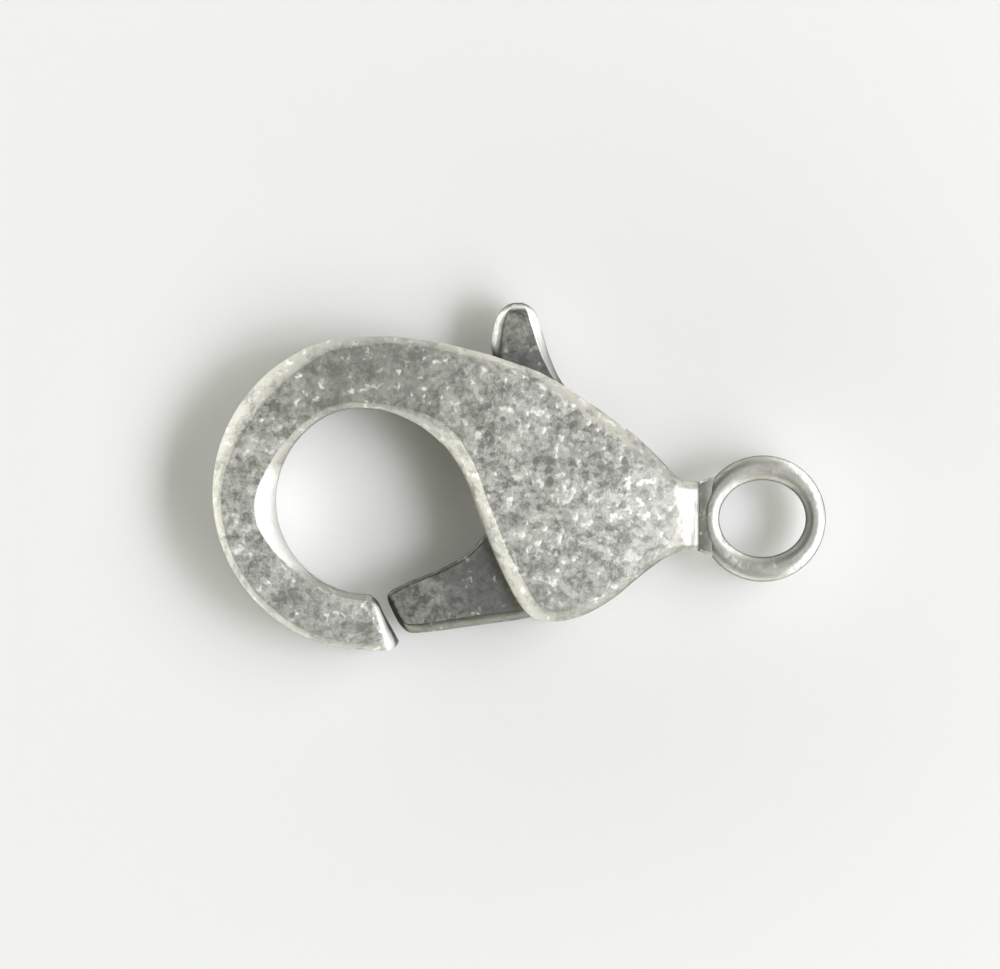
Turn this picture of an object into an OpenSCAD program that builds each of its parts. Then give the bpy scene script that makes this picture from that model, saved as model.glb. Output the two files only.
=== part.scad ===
// Lobster clasp: a cast hook with a bail ring, a sprung gate lever, its pivot pin and its leaf spring.
// +X runs from the hook to the bail ring, +Y towards the thumb tab, +Z out of the front cheek.
// The origin is the centre of the ring's bore, halfway through the thickness.

/* [Bail ring] */
// Radius of the round hole through the bail ring
bail_bore_r = 1.8; // [1.5:0.05:2.3]
// Width of the ring's wire, from the bore to the outer edge
bail_wire = 0.98; // [0.8:0.02:1.3]
// Thickness of the ring along the bore
bail_thick = 1.5; // [1.2:0.05:2]

/* [Body] */
// From the centre of the bore to the centre of the hook's bend, along X
hook_reach = 17.25; // [16:0.25:20]
// How far the hook's centre lies above the ring's centre
hook_rise = 1.13; // [0.8:0.05:1.5]
// Height of the cheeks across the pin
cheek_height = 10.2; // [9.4:0.1:11.5]
// Thickness over the two cheeks
body_thick = 4.4; // [4:0.1:5.4]
// Width of the neck beside the ring
neck_width = 3.05; // [2.6:0.05:3.6]
// Thickness of the neck where its shoulder meets the ring
neck_thick = 1.8; // [1.6:0.05:2.4]
// Width of the slot between the cheeks
slot_width = 1.96; // [1.6:0.02:2.4]

/* [Hook] */
// Outer radius of the hook's bend
hook_r = 6.94; // [6.6:0.02:7.6]
// Radius of the eye inside the hook
eye_r = 4.19; // [3.9:0.01:4.6]
// How far the eye's centre lies below the hook's centre
eye_drop = 0.31; // [0:0.01:0.5]
// Thickness of the hook at its tip
tip_thick = 2.5; // [2.2:0.1:3.6]
// Width of the broadest bevel along the edges
bevel = 0.95; // [0.5:0.05:1.1]

/* [Lever] */
// Depth of the gate arm at its middle
gate_depth = 2.7; // [2.2:0.05:3.1]
// Radius of the lever's hub
hub_r = 2.75; // [2.4:0.05:3]
// Width of the thumb tab
tab_width = 2.2; // [1.8:0.05:2.6]
// Height of the thumb tab above the pin's centre
tab_height = 10; // [9:0.1:11]
// Angle that the lever opens through
open_angle = 28; // [15:1:30]
// Gap between the hook's tip and the end of the closed gate
tip_gap = 0.45; // [0.3:0.05:0.8]
// Gap between the closed lever and its stop at the top of the slot
stop_gap = 0.1; // [0.05:0.01:0.3]
// Gap on each side of the lever, between it and a cheek
side_gap = 0.08; // [0.04:0.01:0.15]

/* [Pin] */
// Diameter of the pivot pin
pin_d = 1.3; // [1:0.05:1.6]
// Gap around the pin in the lever
pin_play = 0.05; // [0.02:0.01:0.08]
// Gap around the pin in the cheeks
pin_seat = 0.02; // [0.01:0.01:0.05]
// Front cheek left over the blind end of the pin
pin_cover = 0.5; // [0.3:0.05:0.8]

/* [Spring] */
// Thickness of the spring's leaf
leaf_thick = 0.2; // [0.15:0.01:0.25]
// Gap between the leaf and what it bears on
leaf_gap = 0.05; // [0.03:0.01:0.1]
// Room left for the pressed spring behind the open lever
spring_room = 0.65; // [0.6:0.05:0.9]

/* [Hidden] */
$fn = 64;

ring_r = bail_bore_r + bail_wire;
hook_centre = [-hook_reach, hook_rise];
eye_centre = hook_centre + [0, -eye_drop];
tip_depth = hook_r - eye_r - eye_drop;
lever_thick = slot_width - 2 * side_gap;
pivot = [-0.487 * hook_reach, -0.04 * cheek_height];

// Depth of a bevel as a share of its width, and the most of a section that a bevel may take
bevel_slope = 0.78;
bevel_share = 0.48;
bevel_depth_share = 0.7;
// Rounding left along an edge that has no bevel, and the step where the neck's shoulder meets the ring
edge_round = 0.15;
crease = 0.08;

// Neck sections inside the ring's outline, as shares: x of ring_r, half width of neck_width, and
// thickness of bail_thick. The neck's middle lies neck_lift above the ring's centre.
NECK_ROWS = [
    [-0.718, 0.580, 0.60],
    [-0.817, 0.564, 0.97],
    [-0.930, 0.530, 0.97],
    [-1.000, 0.505, 0.95]
];
neck_lift = 0.03 * neck_width;

// Cheek sections from the neck to the hook's root. Each row holds the back edge's x and y, the front
// edge's x and y, the thickness, and the back and front bevels. x is a share of hook_reach, y of
// cheek_height, thickness the share from neck_thick to body_thick, and a bevel is a share of bevel.
CHEEK_ROWS = [
    [-0.190, 0.160, -0.190, -0.139, 0.27, 0.30, 0.30],
    [-0.216, 0.177, -0.231, -0.153, 0.49, 0.40, 0.35],
    [-0.241, 0.216, -0.274, -0.196, 0.62, 0.55, 0.40],
    [-0.269, 0.268, -0.323, -0.261, 0.74, 0.65, 0.40],
    [-0.303, 0.324, -0.384, -0.345, 0.86, 0.70, 0.45],
    [-0.341, 0.378, -0.448, -0.408, 0.93, 0.70, 0.50],
    [-0.377, 0.421, -0.504, -0.438, 0.97, 0.70, 0.50],
    [-0.405, 0.456, -0.548, -0.442, 0.99, 0.70, 0.55],
    [-0.428, 0.482, -0.581, -0.431, 1.00, 0.65, 0.70],
    [-0.448, 0.506, -0.604, -0.403, 1.00, 0.60, 0.85],
    [-0.469, 0.529, -0.624, -0.364, 1.00, 0.50, 1.00],
    [-0.497, 0.560, -0.652, -0.278, 1.00, 0.45, 1.00],
    [-0.537, 0.601, -0.686, -0.153, 1.00, 0.40, 1.00],
    [-0.586, 0.642, -0.716, -0.023, 1.00, 0.35, 1.00]
];

// Hook root sections: the outer edge's angle and its radius as a share of hook_r, then the inner
// edge's angle and its radius as a share of eye_r.
ROOT_ROWS = [
    [43, 1.215, 5, 1.050],
    [50, 1.147, 20, 0.988],
    [58, 1.084, 36, 0.956],
    [67, 1.038, 54, 0.936],
    [77, 1.006, 72, 0.937],
    [87, 0.991, 87, 0.958],
    [105, 1.000, 105, 0.990]
];
bend_start = 120;
bend_end = 270;
bend_step = 15;

// Tip sections past the bend: the outer and inner edges' x and y from the bend's end, as shares of
// the tip's depth, and the thickness as a share of tip_thick.
TIP_ROWS = [
    [0.09, 0.00, -0.02, 0.00, 1.00],
    [0.28, 0.00, 0.06, -0.05, 0.95],
    [0.40, 0.04, 0.13, -0.12, 0.84],
    [0.48, 0.10, 0.18, -0.21, 0.66],
    [0.51, 0.17, 0.22, -0.31, 0.44]
];

// Gate sections from the tip to the hub: the eye-side edge along and across the gate, then the outer
// edge, and the thickness. Along is a share of the gate's length, across of gate_depth.
GATE_ROWS = [
    [1.00, 0.17, 1.00, -0.17, 0.70],
    [0.99, 0.28, 0.98, -0.37, 0.95],
    [0.96, 0.33, 0.94, -0.46, 1.00],
    [0.87, 0.34, 0.86, -0.56, 1.00],
    [0.70, 0.31, 0.73, -0.69, 1.00],
    [0.55, 0.34, 0.59, -0.83, 1.00],
    [0.44, 0.46, 0.44, -0.98, 1.00],
    [0.36, 0.60, 0.31, -1.06, 1.00]
];

// Hub sections: the eye-side edge's x and y, then the ring-side edge's, as shares of hub_r.
HUB_ROWS = [
    [-1.14, 0.32, 0.00, -1.15],
    [-1.04, 0.66, 0.45, -0.83],
    [-1.01, 1.04, 0.80, -0.43],
    [-1.04, 1.44, 0.96, 0.06],
    [-1.11, 1.84, 0.85, 0.72]
];

// Tab sections: the hook-side edge's x and y, then the ring-side edge's, the thickness, and the bevels
// as a share of tab_bevel. x is a share of tab_width, y of tab_height.
TAB_ROWS = [
    [-1.46, 0.617, 0.70, 0.374, 1.00, 1.00],
    [-1.55, 0.722, 0.30, 0.520, 1.00, 1.00],
    [-1.61, 0.797, -0.19, 0.639, 1.00, 1.00],
    [-1.58, 0.854, -0.44, 0.753, 1.00, 0.95],
    [-1.54, 0.899, -0.59, 0.859, 0.99, 0.90],
    [-1.44, 0.951, -0.73, 0.947, 0.94, 0.80],
    [-1.28, 0.982, -0.88, 0.981, 0.68, 0.50],
    [-1.17, 0.991, -0.98, 0.991, 0.50, 0.25]
];
tab_bevel = 0.45;
hub_bevel = 0.12;

// A section is [outer edge point, inner edge point, thickness, outer bevel, inner bevel].
function polar(centre, r, angle) = centre + r * [cos(angle), sin(angle)];
function unit(v) = v / norm(v);
function turned(p, angle) =
    let (d = p - pivot)
    pivot + [d.x * cos(angle) + d.y * sin(angle), d.y * cos(angle) - d.x * sin(angle)];
function pushed(p, gap) = p + gap * unit(p - pivot);

// Curve through the rows of a table, with steps sections for each row, all columns at once
function curve_at(a, b, c, d, t) =
    0.5 * (2 * b + (c - a) * t + (2 * a - 5 * b + 4 * c - d) * t * t + (3 * b - a - 3 * c + d) * t * t * t);
function curve(rows, steps) =
    let (last = len(rows) - 1)
    [
        for (i = [0:last - 1], j = [0:steps - 1])
            curve_at(rows[max(i - 1, 0)], rows[i], rows[i + 1], rows[min(i + 2, last)], j / steps),
        rows[last]
    ];

// Corner of a section: a straight chamfer blended with a share of a quarter ellipse
corner_round = 0.25;
CORNER_TURNS = [0, 22.5, 45, 67.5, 90];
function corner_across(a) = corner_round * (1 - cos(a)) + (1 - corner_round) * a / 90;
function corner_deep(a) = corner_round * (1 - sin(a)) + (1 - corner_round) * (1 - a / 90);

function ring_of_points(s) =
    let (
        back = [s[0], s[1]],
        front = [s[2], s[3]],
        width = norm(front - back),
        across = (front - back) / width,
        half = s[4] / 2,
        wide = [for (w = [s[5], s[6]]) min(w, bevel_share * width)],
        deep = [for (w = wide) min(w * bevel_slope, bevel_depth_share * half)],
        outline = [
            for (a = CORNER_TURNS) [wide[0] * corner_across(a), half - deep[0] * corner_deep(a)],
            for (a = CORNER_TURNS)
                [width - wide[1] * corner_across(90 - a), half - deep[1] * corner_deep(90 - a)],
            for (a = CORNER_TURNS) [width - wide[1] * corner_across(a), deep[1] * corner_deep(a) - half],
            for (a = CORNER_TURNS) [wide[0] * corner_across(90 - a), deep[0] * corner_deep(90 - a) - half]
        ]
    )
    [for (q = outline) [back.x + across.x * q.x, back.y + across.y * q.x, q.y]];

module loft(sections) {
    rings = [for (s = sections) ring_of_points(s)];
    n = len(rings[0]);
    last = len(rings) - 1;
    sides = [
        for (i = [0:last - 1], j = [0:n - 1])
            let (k = (j + 1) % n)
            each [[i * n + j, i * n + k, (i + 1) * n + j], [i * n + k, (i + 1) * n + k, (i + 1) * n + j]]
    ];
    ends = [[for (j = [n - 1:-1:0]) j], [for (j = [0:n - 1]) last * n + j]];
    polyhedron(points = [for (r = rings) each r], faces = concat(sides, ends));
}

// Sections of the body. The hook thins evenly round its bend. Its outer bevel is widest at the upper
// left of the bend and its inner one at the left of the eye, each swelling and fading over some angle.
bend_taper_start = 40;
outer_widest = 138;
outer_spread = 34;
outer_shares = [0.33, 0.60];
inner_widest = 188;
inner_spread = 27;
inner_shares = [0.28, 0.70];
root_bevel_end = 95;
root_bevel_run = 60;
function swell(angle, widest, spread) = exp(-pow((angle - widest) / spread, 2));
function bend_thick(angle) =
    let (t = (angle - bend_taper_start) / (bend_end - bend_taper_start))
    body_thick + (tip_thick - body_thick) * min(1, max(0, t));
function outer_bevel(angle) =
    bevel * (outer_shares[0] + outer_shares[1] * swell(angle, outer_widest, outer_spread));
function inner_bevel(angle) =
    let (bend_share = inner_shares[0] + inner_shares[1] * swell(angle, inner_widest, inner_spread))
    bevel * max(bend_share, min(1, (root_bevel_end - angle) / root_bevel_run));
function flat_section(back, front, thick, wide_back, wide_front) =
    [back.x, back.y, front.x, front.y, thick, wide_back, wide_front];

function neck_section(x, half_width, thick) =
    flat_section([x, neck_lift + half_width], [x, neck_lift - half_width], thick, edge_round, edge_round);
NECK = concat(
    [for (r = NECK_ROWS) neck_section(r[0] * ring_r, r[1] * neck_width, r[2] * bail_thick)],
    [neck_section(-ring_r - crease, 0.5 * neck_width, neck_thick)]
);

CHEEKS = [
    for (r = CHEEK_ROWS)
        flat_section(
            [r[0] * hook_reach, r[1] * cheek_height],
            [r[2] * hook_reach, r[3] * cheek_height],
            neck_thick + r[4] * (body_thick - neck_thick),
            r[5] * bevel,
            r[6] * bevel
        )
];
ROOT = [
    for (r = ROOT_ROWS)
        flat_section(
            polar(hook_centre, r[1] * hook_r, r[0]),
            polar(eye_centre, r[3] * eye_r, r[2]),
            bend_thick(r[0]),
            outer_bevel(r[0]),
            inner_bevel(r[2])
        )
];
BEND = [
    for (a = [bend_start:bend_step:bend_end])
        flat_section(
            polar(hook_centre, hook_r, a),
            polar(eye_centre, eye_r, a),
            bend_thick(a),
            outer_bevel(a),
            inner_bevel(a)
        )
];
bend_out = polar(hook_centre, hook_r, bend_end);
bend_in = polar(eye_centre, eye_r, bend_end);
TIP = [
    for (r = TIP_ROWS)
        flat_section(
            bend_out + tip_depth * [r[0], r[1]],
            bend_in + tip_depth * [r[2], r[3]],
            r[4] * tip_thick,
            outer_bevel(bend_end),
            inner_bevel(bend_end)
        )
];

// Sections of the lever. The gate runs from the pin to a point tip_gap short of the hook's tip.
tip_inner = [TIP[len(TIP) - 1][2], TIP[len(TIP) - 1][3]];
gate_end = tip_inner + [tip_gap, 0];
gate_length = norm(gate_end - pivot);
gate_along = unit(gate_end - pivot);
gate_across = [gate_along.y, -gate_along.x];
function gate_point(u, v) = pivot + u * gate_length * gate_along + v * gate_depth * gate_across;
function hub_point(x, y) = pivot + hub_r * [x, y];
function tab_point(x, y) = pivot + [x * tab_width, y * tab_height];

GATE = [
    for (r = GATE_ROWS)
        flat_section(
            gate_point(r[0], r[1]), gate_point(r[2], r[3]), r[4] * lever_thick, edge_round, tab_bevel
        )
];
HUB = [
    for (r = HUB_ROWS)
        flat_section(hub_point(r[0], r[1]), hub_point(r[2], r[3]), lever_thick, hub_bevel, hub_bevel)
];
TAB = [
    for (r = TAB_ROWS)
        flat_section(
            tab_point(r[0], r[1]),
            tab_point(r[2], r[3]),
            r[4] * lever_thick,
            r[5] * tab_bevel,
            r[5] * tab_bevel
        )
];
lever_sections = curve(concat(GATE, HUB, TAB), 2);
function hook_side(s) = [s[0], s[1]];
function ring_side(s) = [s[2], s[3]];

// The slot follows the lever: its stop lies beside the closed tab, its mouth above the open gate,
// and its ring-side wall behind the open lever, with room for the spring. Its floor clears the hub.
mouth_room = 1.1;
floor_gap = 0.35;
floor_lip = [0.5, 0.3];
stop_relief = 0.3;
corner_relief = 0.4;
stop_wall = [for (s = [TAB[2], TAB[1], TAB[0], HUB[4], HUB[3]]) hook_side(s) - [stop_gap, 0]];
root_corner = hook_side(HUB[2]) - [corner_relief, 0];
mouth_edge = turned(hook_side(GATE[5]), open_angle) + [0, mouth_room];
open_flank = [for (s = [HUB[2], HUB[3], HUB[4], TAB[0], TAB[1]]) turned(ring_side(s), open_angle)];
ring_wall = [for (p = open_flank) pushed(p, spring_room)];
floor_wall = [for (s = [HUB[1], HUB[2]]) pushed(ring_side(s), floor_gap)];
floor_edge = floor_wall[0] - floor_lip;
high = tab_height + pivot.y;
low = -cheek_height;
in_eye = eye_centre.x + 0.5 * eye_r;
slot_outline = concat(
    [[stop_wall[0].x - stop_relief, high], [ring_wall[4].x, high]],
    [for (i = [4:-1:1]) ring_wall[i]],
    [floor_wall[1], floor_wall[0], floor_edge, [floor_edge.x, low]],
    [[in_eye, low], [in_eye, mouth_edge.y], mouth_edge, root_corner],
    [for (i = [4:-1:0]) stop_wall[i]]
);

// The rim of the bail ring is a rounded band whose inner side stays straight for the bore
ring_round_share = 0.42;
module bail_ring() {
    round_r = ring_round_share * bail_wire;
    rotate_extrude()
        translate([bail_bore_r + bail_wire / 2, 0])
            union() {
                square([bail_wire, bail_thick - 2 * round_r], center = true);
                square([bail_wire - 2 * round_r, bail_thick], center = true);
                for (x = [-1, 1], y = [-1, 1])
                    translate([x * (bail_wire / 2 - round_r), y * (bail_thick / 2 - round_r)])
                        circle(r = round_r);
            }
}

module slot() {
    translate([0, 0, -slot_width / 2])
        linear_extrude(slot_width)
            polygon(slot_outline);
}

module pin_hole(r, low_z, high_z) {
    translate([pivot.x, pivot.y, low_z])
        cylinder(r = r, h = high_z - low_z);
}

module clasp_body() {
    color([0.62, 0.61, 0.57])
        difference() {
            union() {
                loft(concat(NECK, curve(concat(CHEEKS, ROOT, BEND), 2), TIP));
                bail_ring();
            }
            translate([0, 0, -body_thick])
                cylinder(r = bail_bore_r, h = 2 * body_thick);
            slot();
            pin_hole(pin_d / 2 + pin_seat, -body_thick, body_thick / 2 - pin_cover);
        }
}

module gate_lever() {
    color([0.45, 0.45, 0.42])
        difference() {
            loft(lever_sections);
            pin_hole(pin_d / 2 + pin_play, -body_thick, body_thick);
        }
}

module pivot_pin() {
    color([0.55, 0.54, 0.5])
        pin_hole(pin_d / 2, -body_thick / 2, body_thick / 2 - pin_cover - pin_seat);
}

// The spring's path runs down beside the slot's wall, round a half turn, and up along the closed lever
spring_width = lever_thick - 2 * side_gap;
leaf_off = leaf_gap + leaf_thick / 2;
flank_start = 2 * (len(GATE) + 3) + 1;
lever_path = [for (i = [flank_start:flank_start + 3]) pushed(ring_side(lever_sections[i]), leaf_off)];
wall_line = [for (i = [3, 2]) pushed(open_flank[i], spring_room - leaf_off)];
wall_foot = [min(wall_line[0].x, wall_line[1].x), lever_path[0].y];
turn_centre = (wall_foot + lever_path[0]) / 2;
turn_r = wall_foot.x - turn_centre.x;
half_turn = [for (a = [20:20:160]) polar(turn_centre, turn_r, -a)];
spring_path = concat([wall_line[0], wall_foot], half_turn, lever_path);

function side_step(path, i) =
    let (
        ahead = path[min(i + 1, len(path) - 1)],
        behind = path[max(i - 1, 0)],
        d = unit(ahead - behind)
    )
    [d.y, -d.x] * leaf_thick / 2;

module return_spring() {
    left = [for (i = [0:len(spring_path) - 1]) spring_path[i] + side_step(spring_path, i)];
    right = [for (i = [len(spring_path) - 1:-1:0]) spring_path[i] - side_step(spring_path, i)];
    color([0.7, 0.69, 0.64])
        translate([0, 0, -spring_width / 2])
            linear_extrude(spring_width)
                polygon(concat(left, right));
}

clasp_body();
gate_lever();
pivot_pin();
return_spring();
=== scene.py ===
import bpy
import numpy as np
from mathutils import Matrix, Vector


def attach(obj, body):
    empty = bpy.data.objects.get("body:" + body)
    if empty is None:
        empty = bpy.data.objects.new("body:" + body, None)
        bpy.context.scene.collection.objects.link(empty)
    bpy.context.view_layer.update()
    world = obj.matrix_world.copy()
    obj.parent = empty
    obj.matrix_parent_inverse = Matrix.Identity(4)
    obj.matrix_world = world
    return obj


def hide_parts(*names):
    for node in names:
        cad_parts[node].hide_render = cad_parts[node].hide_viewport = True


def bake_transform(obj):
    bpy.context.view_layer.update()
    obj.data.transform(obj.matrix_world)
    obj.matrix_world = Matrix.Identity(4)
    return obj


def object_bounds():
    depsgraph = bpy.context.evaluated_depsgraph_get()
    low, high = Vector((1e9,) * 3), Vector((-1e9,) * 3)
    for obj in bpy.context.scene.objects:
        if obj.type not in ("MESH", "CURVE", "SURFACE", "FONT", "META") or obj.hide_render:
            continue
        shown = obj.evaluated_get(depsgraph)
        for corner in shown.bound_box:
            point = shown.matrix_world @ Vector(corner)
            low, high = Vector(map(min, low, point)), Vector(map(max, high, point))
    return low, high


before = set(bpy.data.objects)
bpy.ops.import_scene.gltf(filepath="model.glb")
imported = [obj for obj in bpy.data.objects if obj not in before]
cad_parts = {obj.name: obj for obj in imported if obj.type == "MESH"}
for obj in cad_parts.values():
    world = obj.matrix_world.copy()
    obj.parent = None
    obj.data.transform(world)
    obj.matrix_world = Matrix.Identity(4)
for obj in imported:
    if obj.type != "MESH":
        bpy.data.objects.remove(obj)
cad_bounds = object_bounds()

# Clasp body
# One casting of plated zinc alloy: hook, two cheeks, neck and bail ring. Tumbling pitted its faces and
# rubbed its edges, and an antique wash dulled what the rubbing didn't reach. The bright rims are painted
# highlights where the edges face the light, and the ring carries painted shade. Sizes are in mm.
MM = 0.001
hook_reach, hook_rise = 17.25, 1.13
hook_r, eye_r, eye_drop = 6.94, 4.19, 0.31
cheek_height = 10.2
body_thick, neck_thick, tip_thick = 4.4, 1.8, 2.5
neck_width = 3.05
neck_lift = 0.03 * neck_width
bore_r, wire, bail_thick = 1.8, 0.98, 1.5
ring_r = bore_r + wire
crease, edge_round = 0.08, 0.15
bevel, bevel_slope, bevel_share, bevel_depth_share = 0.95, 0.78, 0.48, 0.7
hook_centre = np.array([-hook_reach, hook_rise])
eye_centre = hook_centre - [0, eye_drop]
tip_depth = hook_r - eye_r - eye_drop

# Neck sections inside the ring: x, half width and thickness, as shares of ring_r, neck_width, bail_thick
neck_rows = np.array([
    [-0.718, 0.580, 0.60],
    [-0.817, 0.564, 0.97],
    [-0.930, 0.530, 0.97],
    [-1.000, 0.505, 0.95],
])
# Cheek sections from the neck to the hook's root: the back edge's x and y, the front edge's x and y,
# the thickness from neck_thick to body_thick, and the back and front bevels, as shares of the sizes.
cheek_rows = np.array([
    [-0.190, 0.160, -0.190, -0.139, 0.27, 0.30, 0.30],
    [-0.216, 0.177, -0.231, -0.153, 0.49, 0.40, 0.35],
    [-0.241, 0.216, -0.274, -0.196, 0.62, 0.55, 0.40],
    [-0.269, 0.268, -0.323, -0.261, 0.74, 0.65, 0.40],
    [-0.303, 0.324, -0.384, -0.345, 0.86, 0.70, 0.45],
    [-0.341, 0.378, -0.448, -0.408, 0.93, 0.70, 0.50],
    [-0.377, 0.421, -0.504, -0.438, 0.97, 0.70, 0.50],
    [-0.405, 0.456, -0.548, -0.442, 0.99, 0.70, 0.55],
    [-0.428, 0.482, -0.581, -0.431, 1.00, 0.65, 0.70],
    [-0.448, 0.506, -0.604, -0.403, 1.00, 0.60, 0.85],
    [-0.469, 0.529, -0.624, -0.364, 1.00, 0.50, 1.00],
    [-0.497, 0.560, -0.652, -0.278, 1.00, 0.45, 1.00],
    [-0.537, 0.601, -0.686, -0.153, 1.00, 0.40, 1.00],
    [-0.586, 0.642, -0.716, -0.023, 1.00, 0.35, 1.00],
])
# Root sections: the outer edge's angle and share of hook_r, the inner edge's angle and share of eye_r
root_rows = np.array([
    [43, 1.215, 5, 1.050],
    [50, 1.147, 20, 0.988],
    [58, 1.084, 36, 0.956],
    [67, 1.038, 54, 0.936],
    [77, 1.006, 72, 0.937],
    [87, 0.991, 87, 0.958],
    [105, 1.000, 105, 0.990],
])
# Tip sections: steps of the outer and inner edge from the bend's end, as shares of the tip's depth,
# and the thickness as a share of tip_thick.
tip_rows = np.array([
    [0.09, 0.00, -0.02, 0.00, 1.00],
    [0.28, 0.00, 0.06, -0.05, 0.95],
    [0.40, 0.04, 0.13, -0.12, 0.84],
    [0.48, 0.10, 0.18, -0.21, 0.66],
    [0.51, 0.17, 0.22, -0.31, 0.44],
])


def polar(centre, radius, degrees):
    """Points at the given radius and angle round a centre: centre + radius (cos, sin)."""
    a = np.radians(degrees)
    return centre + np.stack([radius * np.cos(a), radius * np.sin(a)], -1)


def sections(back, front, thick, back_bevel, front_bevel):
    """A table with a row for each section: the two edges' x and y, the thickness and the two bevels."""
    columns = [np.broadcast_to(values, len(back)) for values in (thick, back_bevel, front_bevel)]
    return np.column_stack([back, front, *columns])


def smooth_rows(rows, steps):
    """Catmull-Rom curve through the rows of a table, all columns at once, with steps points a row."""
    padded = np.vstack([rows[:1], rows, rows[-1:]])
    a, b, c, d = padded[:-3, None], padded[1:-2, None], padded[2:-1, None], padded[3:, None]
    t = (np.arange(steps) / steps)[None, :, None]
    square, cube = 2 * a - 5 * b + 4 * c - d, 3 * b - a - 3 * c + d
    curve = 0.5 * (2 * b + (c - a) * t + square * t**2 + cube * t**3)
    return np.vstack([curve.reshape(-1, rows.shape[1]), rows[-1:]])


def length_along(line):
    """The length of a line of points from its first point to each of them."""
    return np.concatenate([[0], np.cumsum(np.linalg.norm(np.diff(line, axis=0), axis=1))])


def read_again(rows, run, count):
    """The table read at count even steps of a run, which has a value for each row."""
    at = np.linspace(0, run[-1], count)
    return np.stack([np.interp(at, run, column) for column in rows.T], 1)


def evenly_spaced(rows, spacing):
    """The table read again at even steps along the line halfway between its two edges."""
    run = length_along((rows[:, 0:2] + rows[:, 2:4]) / 2)
    return read_again(rows, run, int(run[-1] / spacing) + 1)


def rounded_sections(rows, face_points, side_points, corner_points, corner_round=0.25):
    """Rounded rectangles, one for each row of the table, as an array of sections by points by xyz.

    A point lies s along the line from the back edge to the front edge, and z above it. Each corner is a
    straight chamfer blended with a share of a quarter ellipse.
    """
    back, front = rows[:, 0:2], rows[:, 2:4]
    width = np.linalg.norm(front - back, axis=1)[:, None]
    across = (front - back) / width
    half = rows[:, 4:5] / 2
    wide = np.minimum(rows[:, 5:7], bevel_share * width)
    deep = np.minimum(wide * bevel_slope, bevel_depth_share * half)
    straight = np.linspace(0, 1, corner_points)[None]
    turn = straight * np.pi / 2
    run_in = corner_round * (1 - np.cos(turn)) + (1 - corner_round) * straight
    drop = corner_round * (1 - np.sin(turn)) + (1 - corner_round) * (1 - straight)
    face = np.linspace(0, 1, face_points + 2)[None, 1:-1]
    side = np.linspace(0, 1, side_points + 2)[None, 1:-1]
    back_s, back_z = wide[:, :1] * run_in, half - deep[:, :1] * drop
    front_s = (width - wide[:, 1:] * run_in)[:, ::-1]
    front_z = (half - deep[:, 1:] * drop)[:, ::-1]
    top_s = wide[:, :1] + (width - wide[:, 1:] - wide[:, :1]) * face
    top_z = half + 0 * face
    front_wall = (half - deep[:, 1:]) * (1 - 2 * side)
    back_wall = (half - deep[:, :1]) * (2 * side - 1)
    upper_s, upper_z = [back_s, top_s, front_s], [back_z, top_z, front_z]
    lower_s, lower_z = [s[:, ::-1] for s in upper_s[::-1]], [-z[:, ::-1] for z in upper_z[::-1]]
    s = np.hstack([*upper_s, width + 0 * front_wall, *lower_s, 0 * back_wall])
    z = np.hstack([*upper_z, front_wall, *lower_z, back_wall])
    return np.stack([back[:, :1] + across[:, :1] * s, back[:, 1:] + across[:, 1:] * s, z], -1)


def lattice_noise(points, seed):
    """Gradient noise from about -1 to 1: dot products with a slope at each lattice corner, blended.

    The slope's three parts are remainders of a hash of the corner's place and the seed.
    """
    cell = np.floor(points).astype(np.int64)
    inside = points - cell
    blend = inside**3 * (inside * (inside * 6 - 15) + 10)
    total = np.zeros(len(points))
    for corner in np.ndindex(2, 2, 2):
        offset = np.array(corner)
        key = ((cell + offset) * [73856093, 19349663, 83492791]).sum(1) + seed * 2654435761
        key = (key ^ (key >> 13)) * 1274126177 & 0x7FFFFFFF
        parts = np.stack([key % 1021, key // 1021 % 1019, key // 1040399 % 1013], 1)
        slope = parts / [510.0, 509.0, 506.0] - 1
        weight = np.where(offset, blend, 1 - blend).prod(1)
        total += weight * (slope * (inside - offset)).sum(1)
    return total


def tumbled(grid, depth, spread, seed):
    """The grid moved along its normals by depth times two layers of noise, the dents of tumbling.

    The second layer is finer and shallower than the first.
    """
    finer, shallower = 2.3, 0.6
    lengthwise = np.gradient(grid, axis=0)
    around = np.roll(grid, -1, 1) - np.roll(grid, 1, 1)
    normal = np.cross(lengthwise, around)
    normal /= np.maximum(np.linalg.norm(normal, axis=-1, keepdims=True), 1e-9)
    flat = grid.reshape(-1, 3)
    bumps = lattice_noise(flat / spread, seed)
    bumps = bumps + shallower * lattice_noise(flat / spread * finer, seed + 1)
    return grid + normal * (depth * bumps.reshape(grid.shape[:2] + (1,)))


def add_piece(name, points, faces):
    """A smooth-shaded object of this name from points in millimetres and faces."""
    mesh = bpy.data.meshes.new(name)
    mesh.from_pydata((points.reshape(-1, 3) * MM).tolist(), [], faces)
    mesh.shade_smooth()
    piece = bpy.data.objects.new(name, mesh)
    bpy.context.scene.collection.objects.link(piece)
    return piece


def loft(name, grid, closed=False):
    """Quads between neighbouring sections of the grid, joined end to end or capped flat at both ends."""
    rings, around = grid.shape[:2]
    index = np.arange(rings * around).reshape(rings, around)
    here = index if closed else index[:-1]
    ahead = np.roll(index, -1, 0) if closed else index[1:]
    quads = np.stack([here, ahead, np.roll(ahead, -1, 1), np.roll(here, -1, 1)], -1).reshape(-1, 4)
    caps = [] if closed else [index[0].tolist(), index[-1][::-1].tolist()]
    return add_piece(name, grid, quads.tolist() + caps)


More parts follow.
